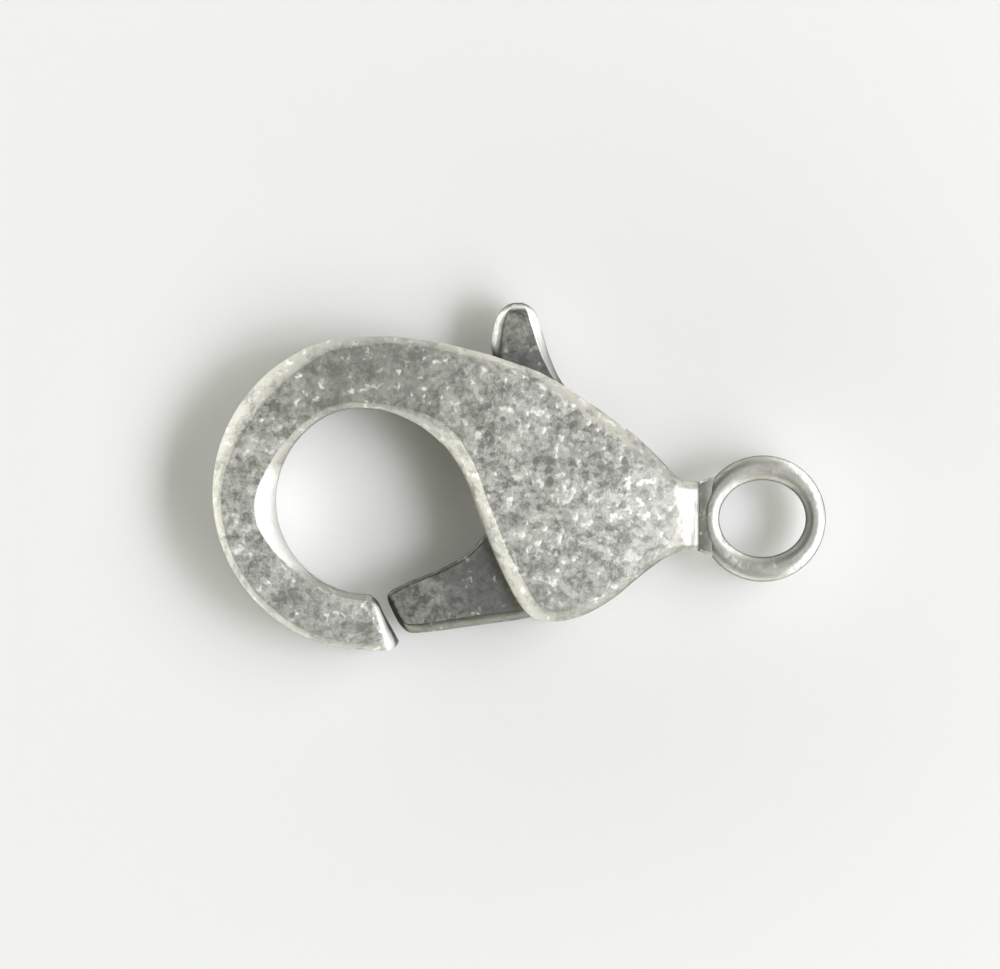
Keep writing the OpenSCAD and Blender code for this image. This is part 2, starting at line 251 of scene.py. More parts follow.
def carve(piece, tool, operation="DIFFERENCE"):
    """The tool is taken out of the piece, or joined to it, and then deleted. The piece's metal stays."""
    metals = list(piece.data.materials)
    step = piece.modifiers.new("carve", "BOOLEAN")
    step.operation, step.solver, step.object = operation, "MANIFOLD", tool
    carved = bpy.data.meshes.new_from_object(piece.evaluated_get(bpy.context.evaluated_depsgraph_get()))
    carved.materials.clear()
    for metal in metals:
        carved.materials.append(metal)
    piece.modifiers.clear()
    piece.data = carved
    bpy.data.objects.remove(tool)


neck_x = np.append(neck_rows[:, 0] * ring_r, -ring_r - crease)
neck_half = np.append(neck_rows[:, 1] * neck_width, 0.5 * neck_width)
neck_back, neck_front = (np.column_stack([neck_x, neck_lift + side * neck_half]) for side in (1, -1))
neck_deep = np.append(neck_rows[:, 2] * bail_thick, neck_thick)
neck = sections(neck_back, neck_front, neck_deep, edge_round, edge_round)
cheeks = sections(
    cheek_rows[:, 0:2] * [hook_reach, cheek_height],
    cheek_rows[:, 2:4] * [hook_reach, cheek_height],
    neck_thick + (body_thick - neck_thick) * cheek_rows[:, 4],
    bevel * cheek_rows[:, 5],
    bevel * cheek_rows[:, 6],
)

# The hook thins evenly round its bend. Its outer bevel is widest at the upper left, and its inner one at
# the left of the eye: a bevel's share is a least width and a bell curve over the angle in degrees.
bend_start, bend_end, bend_step = 120, 270, 15
bend_taper_start = 40
outer_widest, outer_spread, outer_shares = 138, 34, (0.33, 0.60)
inner_widest, inner_spread, inner_shares = 188, 27, (0.28, 0.70)
root_bevel_end, root_bevel_run = 95, 60
bend_angles = np.arange(bend_start, bend_end + 1, bend_step, dtype=float)
whole = np.ones_like(bend_angles)
hook_rows = np.vstack([root_rows, np.stack([bend_angles, whole, bend_angles, whole], 1)])
outer_angle, inner_angle = hook_rows[:, 0], hook_rows[:, 2]
outer_bell = np.exp(-(((outer_angle - outer_widest) / outer_spread) ** 2))
inner_bell = np.exp(-(((inner_angle - inner_widest) / inner_spread) ** 2))
inner_swell = inner_shares[0] + inner_shares[1] * inner_bell
thinning = np.clip((outer_angle - bend_taper_start) / (bend_end - bend_taper_start), 0, 1)
hook = sections(
    polar(hook_centre, hook_r * hook_rows[:, 1], outer_angle),
    polar(eye_centre, eye_r * hook_rows[:, 3], inner_angle),
    body_thick + (tip_thick - body_thick) * thinning,
    bevel * (outer_shares[0] + outer_shares[1] * outer_bell),
    bevel * np.maximum(inner_swell, np.minimum(1, (root_bevel_end - inner_angle) / root_bevel_run)),
)
tip = sections(
    hook[-1, 0:2] + tip_depth * tip_rows[:, 0:2],
    hook[-1, 2:4] + tip_depth * tip_rows[:, 2:4],
    tip_thick * tip_rows[:, 4],
    hook[-1, 5],
    hook[-1, 6],
)
body_run = evenly_spaced(smooth_rows(np.vstack([cheeks, hook, tip]), steps=40), spacing=0.11)
body_rows = np.vstack([neck, body_run])
body_grid = rounded_sections(body_rows, face_points=50, side_points=12, corner_points=12)
body = loft("cast_body", tumbled(body_grid, depth=0.012, spread=0.5, seed=3))

# The ring has a rounded rim. Its hole was pulled slightly oval, wider along the clasp than across it.
rim_round, hole_oval = 0.42 * wire, 0.11
ring_turns = np.radians(np.arange(0, 360, 2.0))[:, None]
ring_row = np.array([[0, 0, wire, 0, bail_thick, rim_round, rim_round]])
ring_sections = rounded_sections(
    ring_row, face_points=6, side_points=8, corner_points=14, corner_round=0.8
)
ring_section = ring_sections[0]
hole_r = bore_r + hole_oval * np.cos(2 * ring_turns)
ring_out = hole_r + (ring_r - hole_r) * ring_section[None, :, 0] / wire
ring_up = ring_section[:, 2] + 0 * ring_out
ring_grid = np.stack([ring_out * np.cos(ring_turns), ring_out * np.sin(ring_turns), ring_up], -1)
carve(body, loft("bail_ring", tumbled(ring_grid, depth=0.006, spread=0.5, seed=9), closed=True), "UNION")


def put(tree, kind, inputs=(), **settings):
    """A shader node with its settings, and its named inputs given a value or a link."""
    made = tree.nodes.new(kind)
    for name, value in settings.items():
        setattr(made, name, value)
    for name, value in dict(inputs).items():
        socket = made.inputs[name]
        if isinstance(value, bpy.types.NodeSocket):
            tree.links.new(value, socket)
        else:
            socket.default_value = value
    return made


def maths(tree, operation, a, b=0.0, c=0.0):
    """The result of a math node on up to three values or sockets."""
    return put(tree, "ShaderNodeMath", {0: a, 1: b, 2: c}, operation=operation).outputs[0]


def vectors(tree, operation, a, b, c=(0.0, 0.0, 0.0), result="Vector"):
    """A result of a vector math node."""
    return put(tree, "ShaderNodeVectorMath", {0: a, 1: b, 2: c}, operation=operation).outputs[result]


def ramp(tree, value, start, end, low=0.0, high=1.0, kind="LINEAR"):
    """The value turned from start and end into low and high, in a straight line between them."""
    inputs = {"Value": value, "From Min": start, "From Max": end, "To Min": low, "To Max": high}
    return put(tree, "ShaderNodeMapRange", inputs, interpolation_type=kind).outputs[0]


def ease(tree, value, start, end, low=0.0, high=1.0):
    """A smooth step of the value, from low at start to high at end."""
    return ramp(tree, value, start, end, low, high, "SMOOTHSTEP")


def blend_values(tree, factor, under, over):
    """The under value turning into the over value as the factor goes to 1."""
    return put(tree, "ShaderNodeMix", {0: factor, 2: under, 3: over}).outputs[0]


def tint(tree, factor, under, over, blend="MIX"):
    """The under colour turning into the over colour, or its blend with it, as the factor goes to 1."""
    under, over = (c if isinstance(c, bpy.types.NodeSocket) else (*c, 1) for c in (under, over))
    inputs = {0: factor, 6: under, 7: over}
    return put(tree, "ShaderNodeMix", inputs, data_type="RGBA", blend_type=blend).outputs[2]


def noise(tree, place, scale, detail, rough=0.6):
    """Fractal noise with about scale lumps a metre, as the node's outputs."""
    inputs = {"Vector": place, "Scale": scale, "Detail": detail, "Roughness": rough}
    return put(tree, "ShaderNodeTexNoise", inputs).outputs


def places(tree):
    """Object coordinates, which are metres from the ring's centre."""
    return put(tree, "ShaderNodeTexCoord").outputs["Object"]


def normals(tree):
    """The direction that the surface faces."""
    return put(tree, "ShaderNodeNewGeometry").outputs["Normal"]


def along(tree, axis, start, end):
    """A smooth step along one axis of the object, between two places in millimetres."""
    split = put(tree, "ShaderNodeSeparateXYZ", {0: places(tree)})
    return ease(tree, split.outputs[axis], start * MM, end * MM)


def leaning(tree, axis, start, end):
    """A smooth step of how far the surface faces along an axis: 0 is across it and 1 is along it."""
    split = put(tree, "ShaderNodeSeparateXYZ", {0: normals(tree)})
    return ease(tree, split.outputs[axis], start, end)


def between(tree, axis, one_side, other_side):
    """1 between two steps along an axis, each the pair of places that it rises from and to."""
    return maths(tree, "MULTIPLY", along(tree, axis, *one_side), along(tree, axis, *other_side))


def away_from(tree, x, y):
    """The distance in metres from a place in the middle plane, given in millimetres."""
    return vectors(tree, "DISTANCE", places(tree), (x * MM, y * MM, 0.0), result="Value")


def new_group(name, inputs, outputs):
    """An empty shader node group, its inputs' sockets by name, and a function that links an output."""
    tree = bpy.data.node_groups.new(name, "ShaderNodeTree")
    for label, value in inputs.items():
        socket = tree.interface.new_socket(label, in_out="INPUT", socket_type="NodeSocketFloat")
        socket.default_value = value
    for label in outputs:
        tree.interface.new_socket(label, in_out="OUTPUT", socket_type="NodeSocketFloat")
    given, result = tree.nodes.new("NodeGroupInput"), tree.nodes.new("NodeGroupOutput")
    return tree, given.outputs, lambda label, value: tree.links.new(value, result.inputs[label])


# The dull patches, bright flecks and fine grain that tumbling and the antique wash leave on a casting.
# Patches are broad and fine noise with a little of a flake's own tone. Flecks are the tops of a finer
# noise, where the broad one is light. Both are stirred, so that their outlines are ragged.
skin_inputs = {"Patch Scale": 1100.0, "Fleck Scale": 3000.0, "Fleck Floor": 0.6}
skin, given, give = new_group("tumbled skin", skin_inputs, ["Patches", "Flecks", "Height"])
stir_scale, stir_reach = 1 / (0.3 * MM), 0.14 * MM
fine_finer, flake_finer = 3.6, 3.0
noise_share, flake_share = 0.45, 0.1
fleck_rise = 0.13
place = places(skin)
stir = noise(skin, place, stir_scale, 2.0)["Color"]
stirred = vectors(skin, "MULTIPLY_ADD", stir, (stir_reach,) * 3, place)
broad = noise(skin, stirred, given["Patch Scale"], 3.0)["Fac"]
fine = noise(skin, place, maths(skin, "MULTIPLY", given["Patch Scale"], fine_finer), 4.0, 0.75)["Fac"]
flake_inputs = {"Vector": stirred, "Scale": maths(skin, "MULTIPLY", given["Patch Scale"], flake_finer)}
flakes = put(skin, "ShaderNodeTexVoronoi", flake_inputs).outputs["Color"]
flake_tone = put(skin, "ShaderNodeSeparateColor", {0: flakes}).outputs[0]
lumps = maths(skin, "MULTIPLY", flake_tone, flake_share)
lumps = maths(skin, "MULTIPLY_ADD", fine, noise_share, lumps)
lumps = maths(skin, "MULTIPLY_ADD", broad, noise_share, lumps)
patches = ramp(skin, lumps, 0.4, 0.61)
dots = noise(skin, stirred, given["Fleck Scale"], 1.5, 0.5)["Fac"]
flecks = ramp(skin, dots, given["Fleck Floor"], maths(skin, "ADD", given["Fleck Floor"], fleck_rise))
flecks = maths(skin, "MULTIPLY", flecks, ease(skin, broad, 0.42, 0.58))
height = maths(skin, "ADD", maths(skin, "MULTIPLY", patches, 0.7), maths(skin, "MULTIPLY", flecks, 0.5))
give("Patches", patches)
give("Flecks", flecks)
give("Height", height)

# Where the rubbing reached: the bevels between a flat face and a wall. The foot, where a bevel turns
# steeply into the wall, is painted shade. Both go by how level the surface is, torn ragged by noise.
edge_masks, given, give = new_group("rubbed edges and steep shade", {"Raggedness": 0.16}, ["Bevel", "Steep Shade"])
tear_scale = 1 / (0.3 * MM)
upward = put(edge_masks, "ShaderNodeSeparateXYZ", {0: normals(edge_masks)}).outputs["Z"]
tear = maths(edge_masks, "SUBTRACT", noise(edge_masks, places(edge_masks), tear_scale, 4.0, 0.7)["Fac"], 0.5)
tear = maths(edge_masks, "MULTIPLY", tear, given["Raggedness"])
level = maths(edge_masks, "ADD", maths(edge_masks, "ABSOLUTE", upward), tear)
give("Bevel", ease(edge_masks, level, 0.985, 0.93))
# Painted shade: the steep band where a bevel turns into the wall.
above_foot, below_foot = ease(edge_masks, level, 0.6, 0.4), ease(edge_masks, level, 0.1, 0.3, 0.4, 1.0)
give("Steep Shade", maths(edge_masks, "MULTIPLY", above_foot, below_foot))


# Below: the fleck share on bevels, the even tone, the painted highlight's cover of a bevel, and the
# painted shade's strength at a bevel's foot.
flecks_on_bevel, calm_tone, highlight_cover, steep_shade_cover = 0.45, 0.55, 0.93, 0.9


def cast_metal(
    name, dull, mid, bright, rim, steep_shade, skin_values, roughness, relief,
    rim_cover=(0.6, 0.95), painted_highlight=None, shade_and_darkening=None, calm=None,
):
    """Plated metal: dull to mid by patches, bright in flecks, rim on bevels and painted shade on their
    steep feet.

    skin_values are a number or a function of the tree for each input of the tumbled skin. roughness is
    that of a plain face and of a rubbed edge, and relief is the pits' depth in millimetres.
    rim_cover is how much of a bevel the rim colour takes, from dull patches to light ones.
    Three optional functions each build a factor. Where the first is 1, rims take the bright colour as a
    painted highlight; where the second is 1, the dull colour takes over as painted shade and plain
    darkening; where the third is 1, the patches and flecks fade to an even tone.
    """
    material = bpy.data.materials.new(name)
    material.use_nodes = True
    tree = material.node_tree
    shader = tree.nodes["Principled BSDF"]
    skin_values = {key: value(tree) if callable(value) else value for key, value in skin_values.items()}
    face = put(tree, "ShaderNodeGroup", skin_values, node_tree=skin).outputs
    edge = put(tree, "ShaderNodeGroup", node_tree=edge_masks).outputs
    patches = face["Patches"]
    fewer = ease(tree, edge["Bevel"], 0.0, 1.0, 1.0, flecks_on_bevel)
    flecks = maths(tree, "MULTIPLY", face["Flecks"], fewer)
    if calm:
        still = calm(tree)
        patches = blend_values(tree, still, patches, calm_tone)
        flecks = blend_values(tree, still, flecks, 0.0)
    colour = tint(tree, patches, dull, mid)
    cover = ease(tree, patches, 0.0, 1.0, *rim_cover)
    if painted_highlight:
        # Painted highlight: where this factor is 1, the rims take the bright colour.
        highlight = painted_highlight(tree)
        rim = tint(tree, highlight, rim, bright)
        cover = maths(tree, "MAXIMUM", cover, maths(tree, "MULTIPLY", highlight, highlight_cover))
    colour = tint(tree, maths(tree, "MULTIPLY", edge["Bevel"], cover), colour, rim)
    if shade_and_darkening:
        # Painted shade, and plain darkening on parts of the body: the colour darkens towards the dull
        # one.
        colour = tint(tree, shade_and_darkening(tree), colour, dull, "DARKEN")
    colour = tint(tree, flecks, colour, bright)
    # Painted shade on the steep foot of each bevel, in the foot colour.
    colour = tint(tree, maths(tree, "MULTIPLY", edge["Steep Shade"], steep_shade_cover), colour, steep_shade)
    tree.links.new(colour, shader.inputs["Base Color"])
    rubbed = maths(tree, "MAXIMUM", edge["Bevel"], flecks)
    tree.links.new(ease(tree, rubbed, 0.0, 1.0, *roughness), shader.inputs["Roughness"])
    bump = put(tree, "ShaderNodeBump", {"Distance": relief * MM, "Height": face["Height"]})
    tree.links.new(bump.outputs[0], shader.inputs["Normal"])
    shader.inputs["Metallic"].default_value = 1.0
    return material


def finish(piece, material):
    """The piece's only material."""
    piece.data.materials.clear()
    piece.data.materials.append(material)


upper_cheek, hook_crown = (-9.0, 3.2), (-17.2, 6.8)
onto_ring = (-2.9, -2.3)


def body_flecks(tree):
    """The fleck floor: lowest, so with the most flecks, on the upper middle of the cheek."""
    return ease(tree, away_from(tree, *upper_cheek), 2.2 * MM, 7.5 * MM, 0.54, 0.59)


def body_calm(tree):
    """The ring is smoother than the rest, so its patches and flecks are fainter."""
    return ease(tree, along(tree, "X", *onto_ring), 0.0, 1.0, 0.0, 0.7)


def body_shade_and_darkening(tree):
    """Darker over the hook's crown, low on the body and on the neck's slope, and painted shade round the
    ring.

    Beside the ring the painted shade fills the crease, and it covers the ring's sides that face the
    neck, away from the light.
    """
    # Plain darkening over the hook's crown, towards the bottom, and on the neck's slope.
    crown = ease(tree, away_from(tree, *hook_crown), 6.5 * MM, 1.5 * MM, 0.0, 0.62)
    low = ease(tree, along(tree, "Y", 0.0, -4.5), 0.0, 1.0, 0.0, 0.26)
    slope = maths(tree, "MULTIPLY", between(tree, "X", (-6.2, -5.2), (-3.4, -4.0)), 0.3)
    faces = maths(tree, "MAXIMUM", crown, maths(tree, "MAXIMUM", low, slope))
    # Painted shade in the crease beside the ring, and on the ring's sides that face away from the light.
    crease_shade = maths(tree, "MULTIPLY", between(tree, "X", (-2.92, -2.8), (-2.1, -2.6)), 0.8)
    away_from_light = vectors(tree, "DOT_PRODUCT", normals(tree), (-0.95, 0.35, 0.0), result="Value")
    shaded = ease(tree, away_from_light, 0.03, 0.38, 0.0, 0.9)
    ring_side_shade = maths(tree, "MULTIPLY", shaded, along(tree, "X", *onto_ring))
    return maths(tree, "MAXIMUM", faces, maths(tree, "MAXIMUM", crease_shade, ring_side_shade))


def body_painted_highlight(tree):
    """Painted highlight: rims are bright where they lean to the ring's side, toward the light, on the
    hook and from the neck on.

    On the hook that is beside the eye and at the tip, and on the ring the crown's far side too. The
    painted highlight on the neck is streaked along the clasp, and it stops at the ends of the collar.
    """
    # Painted highlight on the rims that lean toward the light on the right.
    ring_crown = maths(tree, "MULTIPLY", leaning(tree, "X", -0.08, 0.2), along(tree, "X", 0.6, 1.4))
    toward_light = maths(tree, "MAXIMUM", leaning(tree, "X", 0.1, 0.4), ring_crown)
    beside_eye = between(tree, "Y", (2.6, 1.8), (-2.9, -1.9))
    on_hook = maths(tree, "ADD", beside_eye, along(tree, "Y", -3.6, -4.2))
    on_hook = maths(tree, "MULTIPLY", along(tree, "X", -12.5, -13.5), on_hook)
    drawn_out = vectors(tree, "MULTIPLY", places(tree), (1.0, 0.12, 1.0))
    streaks = ease(tree, noise(tree, drawn_out, 1 / (0.22 * MM), 2.0)["Fac"], 0.36, 0.5, 0.55, 1.0)
    slanted = vectors(tree, "DOT_PRODUCT", places(tree), (1.0, 0.2, 0.0), result="Value")
    on_neck = maths(tree, "MULTIPLY", ease(tree, slanted, -3.9 * MM, -3.4 * MM), streaks)
    off_line = maths(tree, "ADD", along(tree, "Y", 1.2, 1.4), along(tree, "Y", -1.1, -1.3))
    collar_ends = maths(tree, "MULTIPLY", along(tree, "X", -1.9, -2.1), off_line)
    on_neck = maths(tree, "SUBTRACT", on_neck, maths(tree, "MULTIPLY", on_neck, collar_ends))
    return maths(tree, "MULTIPLY", toward_light, maths(tree, "ADD", on_hook, on_neck))


finish(body, cast_metal(
    "antiqued casting",
    dull=(0.25, 0.255, 0.235),
    mid=(0.70, 0.695, 0.68),
    bright=(0.94, 0.935, 0.93),
    rim=(0.48, 0.465, 0.42),
    # The colour of the painted shade on the bevels' steep feet.
    steep_shade=(0.17, 0.14, 0.1),
    skin_values={"Patch Scale": 1100.0, "Fleck Scale": 2800.0, "Fleck Floor": body_flecks},
    roughness=(0.58, 0.55),
    relief=0.018,
    rim_cover=(0.25, 0.95),
    # Painted highlight on rims that face the light.
    painted_highlight=body_painted_highlight,
    # Painted shade round the ring, and plain darkening on the hook and neck.
    shade_and_darkening=body_shade_and_darkening,
    calm=body_calm,
))
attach(body, "body")
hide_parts("clasp_body")

# Gate lever
# A smoother casting of the same alloy: the gate arm that closes the hook, the hub round the pin and
# the thumb tab, bevelled along its outer edges. It was barrelled less, so it stays darker and sleeker.
gate_depth, hub_r = 2.7, 2.75
tab_width, tab_height = 2.2, 10
slot_width, side_gap = 1.96, 0.08
lever_thick = slot_width - 2 * side_gap
tip_gap = 0.45
tab_bevel, hub_bevel = 0.45, 0.12
pin_d, pin_play = 1.3, 0.05
pivot = np.array([-0.487 * hook_reach, -0.04 * cheek_height])

# Gate sections from the tip to the hub: the eye-side edge along and across the gate, then the outer
# edge, and the thickness, as shares of the gate's length, gate_depth and lever_thick.
gate_rows = np.array([
    [1.00, 0.17, 1.00, -0.17, 0.70],
    [0.99, 0.28, 0.98, -0.37, 0.95],
    [0.96, 0.33, 0.94, -0.46, 1.00],
    [0.87, 0.34, 0.86, -0.56, 1.00],
    [0.70, 0.31, 0.73, -0.69, 1.00],
    [0.55, 0.34, 0.59, -0.83, 1.00],
    [0.44, 0.46, 0.44, -0.98, 1.00],
    [0.36, 0.60, 0.31, -1.06, 1.00],
])
# Hub sections: the eye-side edge's x and y, then the ring-side edge's, as shares of hub_r
hub_rows = np.array([
    [-1.14, 0.32, 0.00, -1.15],
    [-1.04, 0.66, 0.45, -0.83],
    [-1.01, 1.04, 0.80, -0.43],
    [-1.04, 1.44, 0.96, 0.06],
    [-1.11, 1.84, 0.85, 0.72],
])
# Tab sections: the hook-side edge's x and y, then the ring-side edge's, as shares of tab_width and
# tab_height, the thickness as a share of lever_thick, and the bevels as a share of tab_bevel.
tab_rows = np.array([
    [-1.46, 0.617, 0.70, 0.374, 1.00, 1.00],
    [-1.55, 0.722, 0.30, 0.520, 1.00, 1.00],
    [-1.61, 0.797, -0.19, 0.639, 1.00, 1.00],
    [-1.58, 0.854, -0.44, 0.753, 1.00, 0.95],
    [-1.54, 0.899, -0.59, 0.859, 0.99, 0.90],
    [-1.44, 0.951, -0.73, 0.947, 0.94, 0.80],
    [-1.28, 0.982, -0.88, 0.981, 0.68, 0.50],
    [-1.17, 0.991, -0.98, 0.991, 0.50, 0.25],
])
gate_end = tip[-1, 2:4] + [tip_gap, 0]
gate_length = np.linalg.norm(gate_end - pivot)
gate_along = (gate_end - pivot) / gate_length
gate_across = np.array([gate_along[1], -gate_along[0]])
gate = sections(
    pivot + gate_rows[:, 0:1] * gate_length * gate_along + gate_rows[:, 1:2] * gate_depth * gate_across,
    pivot + gate_rows[:, 2:3] * gate_length * gate_along + gate_rows[:, 3:4] * gate_depth * gate_across,
    gate_rows[:, 4] * lever_thick,
    edge_round,
    tab_bevel,
)
hub = sections(
    pivot + hub_r * hub_rows[:, 0:2],
    pivot + hub_r * hub_rows[:, 2:4],
    lever_thick,
    hub_bevel,
    hub_bevel,
)
tab = sections(
    pivot + tab_rows[:, 0:2] * [tab_width, tab_height],
    pivot + tab_rows[:, 2:4] * [tab_width, tab_height],
    tab_rows[:, 4] * lever_thick,
    tab_rows[:, 5] * tab_bevel,
    tab_rows[:, 5] * tab_bevel,
)
lever_rows = np.vstack([gate, hub, tab])
lever_run = evenly_spaced(smooth_rows(lever_rows, steps=24), spacing=0.09)
lever_grid = rounded_sections(lever_run, face_points=30, side_points=8, corner_points=10)
lever = loft("lever_casting", tumbled(lever_grid, depth=0.005, spread=0.6, seed=21))


def disc_outline(centre, radius, count=96):
    """A circle as a closed outline."""
    return polar(centre, radius, np.arange(0, 360, 360 / count))


def slab(name, outline, low, high):
    """An upright prism over a closed outline, for cutting with.

    The outline is turned round where its signed area is negative, so that the walls face outwards.
    """
    count = len(outline)
    x, y = outline.T
    area = (x * np.roll(y, -1) - y * np.roll(x, -1)).sum()
    outline = outline if area > 0 else outline[::-1]
    points = np.vstack([np.column_stack([outline, np.full(count, z)]) for z in (low, high)])
    here = np.arange(count)
    ahead = np.roll(here, -1)
    walls = np.stack([here, ahead, ahead + count, here + count], 1).tolist()
    return add_piece(name, points, walls + [here[::-1].tolist(), (here + count).tolist()])


carve(lever, slab("lever_bore", disc_outline(pivot, pin_d / 2 + pin_play), -body_thick, body_thick))
lever.data.set_sharp_from_angle(angle=np.radians(38))


def lever_painted_highlight(tree):
    """Painted highlight on the tab's rims: the ring-side one, which faces the light, all along, and the
    others near its top only.
    """
    # Painted highlight on the rim that faces the light.
    lit_rim = maths(tree, "MULTIPLY", leaning(tree, "X", 0.05, 0.3), along(tree, "Y", 2.8, 4.5))
    return maths(tree, "MAXIMUM", lit_rim, ease(tree, along(tree, "Y", 7.2, 7.7), 0.0, 1.0, 0.0, 0.36))


def lever_painted_shadow(tree):
    """Painted shadow of the cheeks on the gate and the tab, darkest beside the cheeks."""
    return ease(tree, away_from(tree, -8.4, 1.0), 8.2 * MM, 5.8 * MM, 0.0, 0.75)


finish(lever, cast_metal(
    "sleek casting",
    dull=(0.16, 0.165, 0.175),
    mid=(0.5, 0.5, 0.475),
    bright=(0.84, 0.83, 0.81),
    rim=(0.11, 0.105, 0.085),
    # The colour of the painted shade on the bevels' steep feet.
    steep_shade=(0.14, 0.12, 0.09),
    skin_values={"Patch Scale": 900.0, "Fleck Scale": 2600.0, "Fleck Floor": 0.63},
    roughness=(0.44, 0.39),
    relief=0.01,
    # Painted highlight on the tab's lit rims.
    painted_highlight=lever_painted_highlight,
    # Painted shadow of the cheeks on the gate and tab.
    shade_and_darkening=lever_painted_shadow,
))
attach(lever, "lever")
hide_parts("gate_lever")

# Slot in the body
# The cheeks are parted by a slot that the lever swings in. Its wall stops the closed tab, its mouth
# lets the gate open into the eye, and its back leaves room for the pressed spring.
open_angle = 28
pin_seat, pin_cover = 0.02, 0.5
stop_gap, spring_room, floor_gap = 0.1, 0.65, 0.35
stop_relief, corner_relief, mouth_room = 0.3, 0.4, 1.1
floor_lip = np.array([0.5, 0.3])


def turned(points):
    """The points turned clockwise about the pin by the lever's full opening.

    An offset (x, y) from the pin becomes (x cos a + y sin a, y cos a - x sin a).
    """
    a = np.radians(open_angle)
    x, y = np.moveaxis(points - pivot, -1, 0)
    return pivot + np.stack([x * np.cos(a) + y * np.sin(a), y * np.cos(a) - x * np.sin(a)], -1)


def pushed(points, gap):
    """The points moved straight away from the pin by a gap."""
    d = points - pivot
    return points + gap * d / np.linalg.norm(d, axis=-1, keepdims=True)


stop_wall = np.vstack([tab[[2, 1, 0], 0:2], hub[[4, 3], 0:2]]) - [stop_gap, 0]
open_flank = turned(np.vstack([hub[[2, 3, 4], 2:4], tab[[0, 1], 2:4]]))
ring_wall = pushed(open_flank, spring_room)
floor_wall = pushed(hub[[1, 2], 2:4], floor_gap)
floor_edge = floor_wall[0] - floor_lip
mouth_edge = turned(gate[5, 0:2]) + [0, mouth_room]
high, low = tab_height + pivot[1], -cheek_height
in_eye = eye_centre[0] + 0.5 * eye_r
slot_outline = np.vstack([
    [[stop_wall[0, 0] - stop_relief, high], [ring_wall[4, 0], high]],
    ring_wall[[4, 3, 2, 1]],
    [floor_wall[1], floor_wall[0], floor_edge, [floor_edge[0], low]],
    [[in_eye, low], [in_eye, mouth_edge[1]], mouth_edge, hub[2, 0:2] - [corner_relief, 0]],
    stop_wall[::-1],
])
pin_hole_outline = disc_outline(pivot, pin_d / 2 + pin_seat)
carve(body, slab("slot", slot_outline, -slot_width / 2, slot_width / 2))
carve(body, slab("pin_hole", pin_hole_outline, -body_thick, body_thick / 2 - pin_cover))
body.data.set_sharp_from_angle(angle=np.radians(34))

# Pivot pin
# A plain pin pressed in from the back and plated with the rest. It stops under the front cheek and is
# flush behind.
finish(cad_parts["pivot_pin"], cast_metal(
    "plated pin",
    dull=(0.34, 0.335, 0.31),
    mid=(0.48, 0.47, 0.44),
    bright=(0.66, 0.65, 0.62),
    rim=(0.5, 0.49, 0.46),
    # The colour of the painted shade on the bevels' steep feet.
    steep_shade=(0.3, 0.27, 0.22),
    skin_values={"Patch Scale": 2200.0, "Fleck Scale": 3000.0, "Fleck Floor": 0.7},
    roughness=(0.34, 0.3),
    relief=0.003,
))

# Return spring
# A leaf of spring steel folded into a narrow U behind the lever. One leg rests on the slot's wall and
# the other on the lever, so it closes as the thumb tab is pressed.
leaf_thick, leaf_gap = 0.2, 0.05
leaf_width = lever_thick - 2 * side_gap
leaf_off = leaf_gap + leaf_thick / 2
leaf_sections = 90

# One leg follows the lever's flank at half steps of its rows, from halfway along the hub's last step
flank_steps, leg_points = 2, 4
leg_start = flank_steps * (len(gate) + len(hub) - 2) + 1
flank = smooth_rows(lever_rows, flank_steps)[leg_start:leg_start + leg_points, 2:4]
lever_leg = pushed(flank, leaf_off)
wall_line = pushed(open_flank[[3, 2]], spring_room - leaf_off)
wall_foot = np.array([wall_line[:, 0].min(), lever_leg[0, 1]])
turn_centre = (wall_foot + lever_leg[0]) / 2
half_turn = polar(turn_centre, wall_foot[0] - turn_centre[0], -np.arange(5, 180, 5.0))
leaf_line = np.vstack([wall_line[0], wall_foot, half_turn, lever_leg])
leaf_path = read_again(leaf_line, length_along(leaf_line), leaf_sections)
leaf_ahead = np.gradient(leaf_path, axis=0)
leaf_ahead /= np.linalg.norm(leaf_ahead, axis=1, keepdims=True)
leaf_side = np.stack([leaf_ahead[:, 1], -leaf_ahead[:, 0]], 1)

# The leaf's section has cut corners: shares of half its thickness, and of its width
leaf_corners = np.array([[1, 0.42], [0.8, 0.5], [-0.8, 0.5], [-1, 0.42]])
leaf_edge = np.vstack([leaf_corners, -leaf_corners])
leaf_grid = np.concatenate([
    leaf_path[:, None] + leaf_side[:, None] * leaf_edge[None, :, 0:1] * leaf_thick / 2,
    np.broadcast_to(leaf_edge[None, :, 1:2] * leaf_width, (leaf_sections, len(leaf_edge), 1)),
], 2)
leaf = loft("spring_leaf", leaf_grid)
leaf.data.set_sharp_from_angle(angle=np.radians(30))
finish(leaf, cast_metal(
    "spring steel",
    dull=(0.42, 0.41, 0.38),
    mid=(0.6, 0.59, 0.55),
    bright=(0.72, 0.71, 0.68),
    rim=(0.6, 0.59, 0.55),
    # The colour of the painted shade on the bevels' steep feet.
    steep_shade=(0.5, 0.48, 0.44),
    skin_values={"Patch Scale": 2200.0, "Fleck Scale": 3000.0, "Fleck Floor": 0.7},
    roughness=(0.32, 0.28),
    relief=0.002,
))
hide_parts("return_spring")
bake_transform(leaf)

